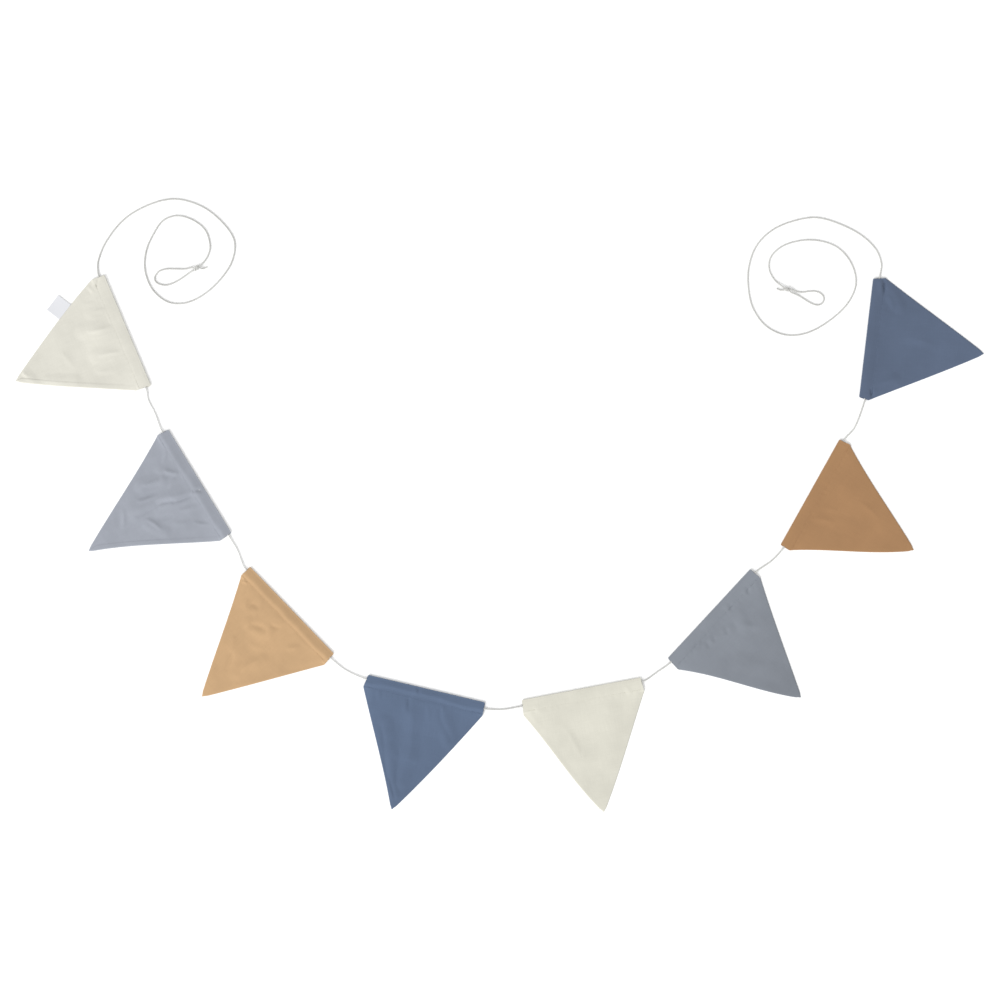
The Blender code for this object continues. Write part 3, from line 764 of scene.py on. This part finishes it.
def layer_heights(name, x, down, inset, on_left):
    """The gap between the two layers, and how far both are raised off the surface."""
    low_cloth = eased((down - STITCH_DOWN - 1.0) / 3.0)
    height = upper_height(name, x, down)
    height = height - (height - LOFT) * low_cloth * (1.0 - eased(inset / SIDE_REACH))
    from_stitches = drawn_up(height, down)
    gap = height - from_stitches + small_relief(name, x, down, inset, on_left, low_cloth)
    raised = from_stitches + lifted(name, x, down) * np.clip(inset / 4.0, 0.25, 1.0)
    crease = CREASE_HEIGHT * creased(name, x, down) * np.clip(inset / 3.0, 0.0, 1.0)
    sunk = np.minimum(0.0, raised + crease)
    gap = gap + np.maximum(0.0, crease) + sunk
    raised = raised + np.minimum(0.0, crease) - sunk
    return np.maximum(gap, LEAST_GAP), raised


def give_weave_map(mesh, across, along):
    """The weave's own map, in metres on the unfolded cloth."""
    spread = np.column_stack((across, along)) * MM + UV_SHIFT
    corner = np.empty(len(mesh.loops), dtype=int)
    mesh.loops.foreach_get("vertex_index", corner)
    weave_map = mesh.uv_layers[0] if mesh.uv_layers else mesh.uv_layers.new()
    weave_map.name = "weave"
    weave_map.data.foreach_set("uv", spread[corner].ravel())


def folded_cloth(name):
    """The kite as a grid folded over: one half is the underside, the other the top."""
    _, left_down, _, right_down, _, tip_down = CUTS[name]
    downs = row_distances(tip_down)
    cloth, column, step = flat_grid(name, len(downs) - 1)
    row, top, on_left = np.abs(step), step > 0, column <= COLUMNS // 2
    down = downs[row]
    x, inset, across = across_cloth(name, column, down)
    cut_back = MOUTH_CUT * np.sin(math.pi * np.clip(down / MOUTH_DOWN, 0.0, 1.0))
    cut_back = cut_back * np.clip(1.0 - inset / MOUTH_IN, 0.0, 1.0)
    down = down - eased((down - tip_down + TIP_FROM) / TIP_FROM) * TIP_ROUND * (2.0 * across - 1.0) ** 2

    gap, raised = layer_heights(name, x, down, inset, on_left)
    seamed = eased((down - np.where(on_left, left_down, right_down) + 1.5) / 2.5)
    closing = np.sqrt(1.0 - (1.0 - np.clip(inset / EDGE_ROUND, 0.0, 1.0)) ** 2)
    gap = np.where(row == len(downs) - 1, 0.0, gap * (1.0 + (closing - 1.0) * seamed))
    lowest = LAYER + np.maximum(0.0, raised)
    rise = FOLD_RISE * np.exp(-((down - LAYER) / 0.5) ** 2)
    under = lowest + rise + 0.5 * EDGE_APART * seamed * (1.0 - closing)
    z = np.where(step == 0, lowest + FOLD_MIDDLE, np.where(top, under + gap, under))
    x = x + np.where(top, cut_back, 0.0) * np.where(on_left, 1.0, -1.0)

    to_frame = np.array(place_matrix(name))
    co = (np.column_stack((x, -down, z)) @ to_frame[:3, :3].T + to_frame[:3, 3]) * MM
    cloth.data.vertices.foreach_set("co", co.ravel())
    give_weave_map(cloth.data, x, np.where(top, down, -down))
    cloth.data.update()
    return cloth


def finish_cloth(cloth):
    """The side seams are closed, and the cloth gets its thickness outwards."""
    deselect()
    cloth.select_set(True)
    bpy.context.view_layer.objects.active = cloth
    bpy.ops.object.mode_set(mode="EDIT")
    bpy.ops.mesh.select_all(action="SELECT")
    bpy.ops.mesh.remove_doubles(threshold=0.00001)
    bpy.ops.mesh.normals_make_consistent(inside=False)
    bpy.ops.object.mode_set(mode="OBJECT")
    layer = cloth.modifiers.new("cloth thickness", "SOLIDIFY")
    layer.thickness = LAYER * MM
    layer.offset = 1.0
    bpy.ops.object.modifier_apply(modifier=layer.name)
    bpy.ops.object.shade_smooth_by_angle(angle=math.radians(70))


def thread_crowns(tree, weave):
    """Height of the plain weave: the crowns of one set of threads and of the other, by turns."""
    per_thread = 1 / (THREAD_PITCH * MM)
    threads = add_node(
        tree, "ShaderNodeMapping", inputs={"Scale": (per_thread, per_thread, 1.0)}, links={"Vector": weave},
    ).outputs["Vector"]
    parts = add_node(tree, "ShaderNodeSeparateXYZ", links={"Vector": threads})
    crowns = []
    for axis in ("X", "Y"):
        turn = add_node(
            tree, "ShaderNodeMath", {"operation": "MULTIPLY"}, {1: math.pi}, {0: parts.outputs[axis]},
        )
        wave = add_node(tree, "ShaderNodeMath", {"operation": "SINE"}, links={0: turn.outputs[0]})
        crowns.append(add_node(tree, "ShaderNodeMath", {"operation": "ABSOLUTE"}, links={0: wave.outputs[0]}))
    over = add_node(tree, "ShaderNodeTexChecker", inputs={"Scale": 1.0}, links={"Vector": threads})
    return add_node(
        tree, "ShaderNodeMix", {"data_type": "FLOAT"},
        links={0: over.outputs["Fac"], 2: crowns[0].outputs[0], 3: crowns[1].outputs[0]},
    ).outputs[0]


def thread_slubs(tree, weave):
    """Thicker places along the threads, both ways, added up."""
    thick, long = 1 / (SLUB_THICK * MM), 1 / (SLUB_LONG * MM)
    slubs = []
    for stretch in ((thick, long, 1.0), (long, thick, 1.0)):
        drawn = add_node(tree, "ShaderNodeMapping", inputs={"Scale": stretch}, links={"Vector": weave})
        slubs.append(add_node(
            tree, "ShaderNodeTexNoise", inputs={"Scale": 1.0, "Detail": 2.0},
            links={"Vector": drawn.outputs["Vector"]},
        ).outputs["Fac"])
    return add_node(
        tree, "ShaderNodeMath", {"operation": "ADD"}, links={0: slubs[0], 1: slubs[1]},
    ).outputs[0]


def painted_light_drift(tree, weave, at_fold, at_tip):
    """Painted light and shade: how much lighter or darker the cloth is painted, from its fold down to its
    tip.
    """
    down = add_node(tree, "ShaderNodeSeparateXYZ", links={"Vector": weave}).outputs["Y"]
    reach = {"From Min": UV_SHIFT, "From Max": UV_SHIFT + PAINTED_LIGHT_REACH * MM}
    return add_node(
        tree, "ShaderNodeMapRange", inputs={**reach, "To Min": at_fold, "To Max": at_tip},
        links={"Value": down},
    ).outputs["Result"]


def plain_weave_cotton(name, slot, code):
    """Dyed plain-weave cotton: matt and soft, with slubs along its threads and a faint mottle."""
    material, tree, shader = new_material(f"plain_weave_{slot}_{name[-1]}", 0.88, 0.22)
    base = linear(code)
    dark = tuple(0.93 * c for c in base[:3]) + (1.0,)
    light = tuple(min(1.0, 1.04 * c) for c in base[:3]) + (1.0,)
    weave = add_node(tree, "ShaderNodeUVMap", {"uv_map": "weave"}).outputs["UV"]
    crowns = thread_crowns(tree, weave)
    slubs = thread_slubs(tree, weave)
    mottle = add_node(
        tree, "ShaderNodeTexNoise", inputs={"Scale": 1 / (MOTTLE_SIZE * MM), "Detail": 3.0},
        links={"Vector": weave},
    )
    tone = add_node(
        tree, "ShaderNodeMath", {"operation": "MULTIPLY_ADD"}, {1: 0.35},
        {0: slubs, 2: mottle.outputs["Fac"]},
    )
    share = add_node(
        tree, "ShaderNodeMapRange", inputs={"From Min": 0.6, "From Max": 1.1},
        links={"Value": tone.outputs[0]},
    )
    colour = add_node(
        tree, "ShaderNodeMix", {"data_type": "RGBA"}, {6: dark, 7: light}, {0: share.outputs["Result"]},
    )
    # Painted light and shade: the colour is scaled lighter or darker from the fold to the tip
    toned = add_node(
        tree, "ShaderNodeVectorMath", {"operation": "SCALE"},
        links={0: colour.outputs[2], 3: painted_light_drift(tree, weave, *PAINTED_LIGHT_TONES[name])},
    )
    coarse = add_node(
        tree, "ShaderNodeBump", inputs={"Strength": 0.25, "Distance": 0.0002}, links={"Height": slubs},
    )
    bump = add_node(
        tree, "ShaderNodeBump", inputs={"Strength": 0.2, "Distance": 0.0001},
        links={"Height": crowns, "Normal": coarse.outputs["Normal"]},
    )
    tree.links.new(toned.outputs["Vector"], shader.inputs["Base Color"])
    tree.links.new(bump.outputs["Normal"], shader.inputs["Normal"])
    shader.inputs["Sheen Weight"].default_value = 0.12
    shader.inputs["Sheen Roughness"].default_value = 0.6
    return material


for name, (slot, code) in CLOTH_COLOURS.items():
    cloth = folded_cloth(name)
    finish_cloth(cloth)
    cloth.data.materials.clear()
    cloth.data.materials.append(plain_weave_cotton(name, slot, code))
    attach(cloth, "root")
    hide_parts(name)


# Stitches. One row of lockstitch in matching spun polyester thread closes each casing, with a few
# stitches back over it at both ends. The same row shows on the underside.
STITCH_PITCH = 3.0
STITCH_LONG = 2.5
STITCH_THICK = 0.42
BACK_STITCHES = 4
BACK_SHIFT = 0.55
ROW_ENDS = 4.0
TWIST_SIZE = 0.3333
THREAD_HIGHLIGHT_GAIN = 1.05


def spun_thread(name, slot, code):
    """Spun polyester thread: glossier than the cloth and painted a little lighter, a painted highlight on
    each stitch.
    """
    material, tree, shader = new_material(f"spun_thread_{slot}_{name[-1]}", 0.6, 0.4)
    # Painted highlight: the thread's colour is the cloth's made a little lighter so each stitch catches light
    base = tuple(min(1.0, THREAD_HIGHLIGHT_GAIN * c) for c in linear(code)[:3]) + (1.0,)
    place = add_node(tree, "ShaderNodeTexCoord").outputs["Object"]
    twist = add_node(
        tree, "ShaderNodeTexNoise", inputs={"Scale": 1 / (TWIST_SIZE * MM), "Detail": 1.0},
        links={"Vector": place},
    )
    bump = add_node(
        tree, "ShaderNodeBump", inputs={"Strength": 0.4, "Distance": 0.00005},
        links={"Height": twist.outputs["Fac"]},
    )
    shader.inputs["Base Color"].default_value = base
    tree.links.new(bump.outputs["Normal"], shader.inputs["Normal"])
    return material


deselect()
bpy.ops.mesh.primitive_uv_sphere_add(segments=6, ring_count=4, radius=0.5)
one_stitch = bpy.context.object
bpy.ops.object.mode_set(mode="EDIT")
bpy.ops.mesh.select_all(action="SELECT")
bpy.ops.transform.rotate(value=math.radians(90), orient_axis="Y", center_override=(0, 0, 0))
bpy.ops.transform.resize(value=(STITCH_LONG, STITCH_THICK, STITCH_THICK), center_override=(0, 0, 0))
bpy.ops.object.mode_set(mode="OBJECT")
stitch_co = np.array([v.co[:] for v in one_stitch.data.vertices])
stitch_faces = [tuple(p.vertices) for p in one_stitch.data.polygons]
bpy.data.objects.remove(one_stitch, do_unlink=True)


def stitch_places(name):
    """Middle of each stitch along the row, and its shift down where the row is sewn back."""
    width = PLACES[name][3]
    count = int((width - ROW_ENDS) / STITCH_PITCH)
    start = 0.5 * (width - (count - 1) * STITCH_PITCH)
    row = [(start + i * STITCH_PITCH, 0.0) for i in range(count)]
    back = [(start + (i + 0.5) * STITCH_PITCH, BACK_SHIFT) for i in range(BACK_STITCHES)]
    far = [(width - x, shift) for x, shift in back]
    return row + back + far


def stitch_row(name):
    """All stitches of one casing as one mesh, lying in the pinched cloth on both faces."""
    sites = []
    for x, shift in stitch_places(name):
        down = np.array([STITCH_DOWN + shift])
        height = upper_height(name, np.array([x]), down)
        top_face, under_face = 2 * LAYER + height[0], drawn_up(height, down)[0]
        sites += [(x, down[0], top_face), (x, down[0], under_face)]
    verts, faces = [], []
    for x, down, z in sites:
        start = len(verts)
        verts += [(on_pennant(name, x + a, down - b, z + c) * MM)[:] for a, b, c in stitch_co]
        faces += [tuple(start + i for i in face) for face in stitch_faces]
    mesh = bpy.data.meshes.new(f"stitches_{name}")
    mesh.from_pydata(verts, [], faces)
    mesh.shade_smooth()
    stitches = bpy.data.objects.new(f"stitches_{name}", mesh)
    bpy.context.scene.collection.objects.link(stitches)
    return stitches


for name, (slot, code) in CLOTH_COLOURS.items():
    stitches = stitch_row(name)
    stitches.data.materials.append(spun_thread(name, slot, code))
    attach(stitches, "root")


# Label. A short length of white woven polyester tape, folded in half and caught by its cut ends in
# the first pennant's side seam. It has nothing on it.
LABEL_TOP_DOWN = 55.5
LABEL_LOW_DOWN = 76.5
LABEL_OUT = 20.5
LABEL_TUCK = 0.2
LABEL_ROOM = 0.3
LABEL_HANG = 0.42
LABEL_CURL = 0.35
TAPE = 0.3
RIB_PITCH = 0.748
LABEL_COLOUR = "D3D4D8"


def folded_label():
    """The tape as a grid folded over its outer edge, a little raised where it leaves the seam."""
    name = "pennant_1"
    edge = side_line(name, np.array([LABEL_TOP_DOWN, LABEL_LOW_DOWN]), False) - LAYER
    top = on_pennant(name, edge[0], LABEL_TOP_DOWN, 0.0)
    low = on_pennant(name, edge[1], LABEL_LOW_DOWN, 0.0)
    along = low - top
    out = Vector((along.y, -along.x, 0.0)).normalized()
    if out.x > 0.0:
        out.negate()
    deselect()
    bpy.ops.mesh.primitive_grid_add(x_subdivisions=24, y_subdivisions=60, size=1.0)
    label = bpy.context.object
    label.name = "folded_label"
    spread = {}
    for vert in label.data.vertices:
        beside, turned = vert.co.x + 0.5, 2.0 * vert.co.y
        reach = 1.0 - abs(turned)
        bulge = math.sqrt(max(0.0, 1.0 - max(0.0, 6.0 * reach - 5.0) ** 2))
        hang = LABEL_HANG * (1.0 - min(1.0, 2.2 * reach)) ** 2
        curl = LABEL_CURL * reach * (2.0 * beside - 1.0) ** 2
        room = (0.5 * LABEL_ROOM + 0.5 * TAPE) * bulge * (1.0 if turned > 0 else -1.0)
        z = TAPE + 0.5 * LABEL_ROOM + hang + curl + (room if turned else 0.0)
        place = top + along * beside + out * (LABEL_OUT * reach - LABEL_TUCK)
        spread[vert.index] = (beside * along.length * MM, (1.0 + turned) * LABEL_OUT * MM)
        vert.co = (place.x * MM, place.y * MM, z * MM)
    tape_map = label.data.uv_layers[0]
    tape_map.name = "weave"
    for loop in label.data.loops:
        tape_map.data[loop.index].uv = spread[loop.vertex_index]
    bpy.ops.object.mode_set(mode="EDIT")
    bpy.ops.mesh.select_all(action="SELECT")
    bpy.ops.mesh.normals_make_consistent(inside=False)
    bpy.ops.object.mode_set(mode="OBJECT")
    tape = label.modifiers.new("tape thickness", "SOLIDIFY")
    tape.thickness = TAPE * MM
    tape.offset = 0.0
    bpy.ops.object.modifier_apply(modifier=tape.name)
    bpy.ops.object.shade_smooth_by_angle(angle=math.radians(50))
    return label


def woven_tape():
    """Woven polyester satin tape: fine ribs and a soft shine, cooler and whiter than the cotton."""
    material, tree, shader = new_material("woven_polyester_tape", 0.55, 0.4)
    weave = add_node(tree, "ShaderNodeUVMap", {"uv_map": "weave"}).outputs["UV"]
    ribs = add_node(
        tree, "ShaderNodeTexWave", {"wave_type": "BANDS", "bands_direction": "Y"},
        {"Scale": 2 * math.pi / (20 * RIB_PITCH * MM), "Distortion": 0.4}, {"Vector": weave},
    )
    bump = add_node(
        tree, "ShaderNodeBump", inputs={"Strength": 0.35, "Distance": 0.00008},
        links={"Height": ribs.outputs["Fac"]},
    )
    shader.inputs["Base Color"].default_value = linear(LABEL_COLOUR)
    tree.links.new(bump.outputs["Normal"], shader.inputs["Normal"])
    return material


label = folded_label()
label.data.materials.clear()
label.data.materials.append(woven_tape())
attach(label, "root")
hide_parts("label")
bpy.data.objects.remove(three_plies, do_unlink=True)


# Floor and light. A plain white surface, a soft key light low on the lower left and an even white
# fill from all round, so that the folds show and the shadows stay faint.
FLOOR_COLOUR = "FDFDFD"
FLOOR_WIDE = 12.0
FLOOR_BELOW = 0.1
KEY_STRENGTH = 2.4
KEY_HEIGHT = 36.0
KEY_TURN = 228.0
KEY_SOFTNESS = 40.0
FILL_STRENGTH = 0.8
deselect()
bpy.ops.mesh.primitive_plane_add(size=FLOOR_WIDE, location=(0.0, 0.0, -FLOOR_BELOW * MM))
floor = bpy.context.object
floor.name = "white_floor"
floor_paint, floor_tree, floor_shader = new_material("matt_white_board", 0.95, 0.1)
floor_shader.inputs["Base Color"].default_value = linear(FLOOR_COLOUR)
floor.data.materials.append(floor_paint)

key = bpy.data.lights.new("soft_key", "SUN")
key.energy = KEY_STRENGTH
key.angle = math.radians(KEY_SOFTNESS)
key_light = bpy.data.objects.new("soft_key", key)
key_light.rotation_euler = (0.0, math.radians(90.0 - KEY_HEIGHT), math.radians(KEY_TURN))
bpy.context.scene.collection.objects.link(key_light)

world = bpy.context.scene.world or bpy.data.worlds.new("studio")
bpy.context.scene.world = world
world.use_nodes = True
fill = world.node_tree.nodes["Background"]
fill.inputs["Color"].default_value = (1.0, 1.0, 1.0, 1.0)
fill.inputs["Strength"].default_value = FILL_STRENGTH
